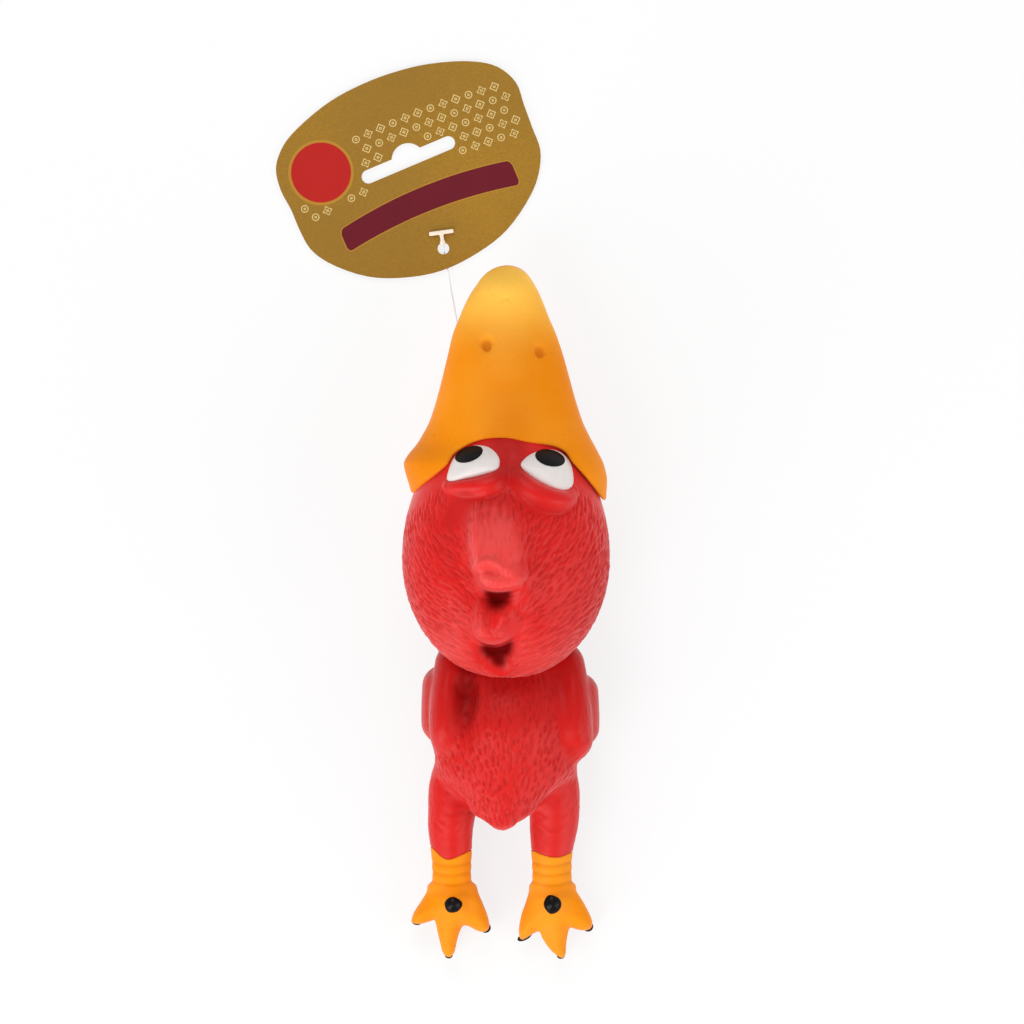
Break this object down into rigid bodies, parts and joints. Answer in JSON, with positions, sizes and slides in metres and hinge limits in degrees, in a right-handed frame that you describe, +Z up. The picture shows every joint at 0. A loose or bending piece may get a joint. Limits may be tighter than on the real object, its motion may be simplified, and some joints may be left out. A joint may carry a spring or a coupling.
{
  "type": "bird dog toy",
  "caption": "Hollow latex squeaky bird for dogs, lying belly down, long orange bill, red body, raised eyes and claws, with a card tag on a thin plastic thread.",
  "frame": {"origin": "middle of the toy's footprint on the surface that it lies on, without its tag", "axes": "+Z up, +Y along the toy towards the tip of the bill, +X to the right seen from above"},
  "size_m": [0.1077, 0.2898, 0.0642],
  "materials": {
    "red_latex": "satin",
    "orange_latex": "satin",
    "white_paint": "satin",
    "black_paint": "gloss",
    "squeaker_plastic": "gloss",
    "wadding": "matte",
    "clear_plastic": "gloss",
    "gold_card": "satin"
  },
  "bodies": {
    "toy": {"head": "red_latex", "torso": "red_latex", "left_wing": "red_latex", "right_wing": "red_latex", "left_leg": "red_latex", "right_leg": "red_latex", "upper_bill": "orange_latex", "lower_bill": "orange_latex", "left_foot": "orange_latex", "right_foot": "orange_latex", "left_eye": "white_paint", "right_eye": "white_paint", "left_pupil": "black_paint", "right_pupil": "black_paint", "left_claw_1": "black_paint", "left_claw_2": "black_paint", "left_claw_3": "black_paint", "left_rear_claw": "black_paint", "right_claw_1": "black_paint", "right_claw_2": "black_paint", "right_claw_3": "black_paint", "right_rear_claw": "black_paint", "squeaker_body": "squeaker_plastic", "squeaker_cap": "squeaker_plastic", "squeaker_reed": "squeaker_plastic", "fibre_filling": "wadding", "fastener_bar": "clear_plastic"},
    "fastener": {"fastener_thread": "clear_plastic", "fastener_paddle": "clear_plastic"},
    "card": {"tag_card": "gold_card"}
  },
  "joints": [
    {"name": "tag_lift", "type": "hinge", "parent": "toy", "child": "fastener", "pos_m": [-0.0151, 0.09, 0.0212], "axis": [0.9832, 0.1823, 0], "range_deg": [0, 75]},
    {"name": "card_swivel", "type": "hinge", "parent": "fastener", "child": "card", "pos_m": [-0.02023, 0.11745, 0.0011], "axis": [0, 0, 1], "range_deg": [-20, 40]}
  ]
}
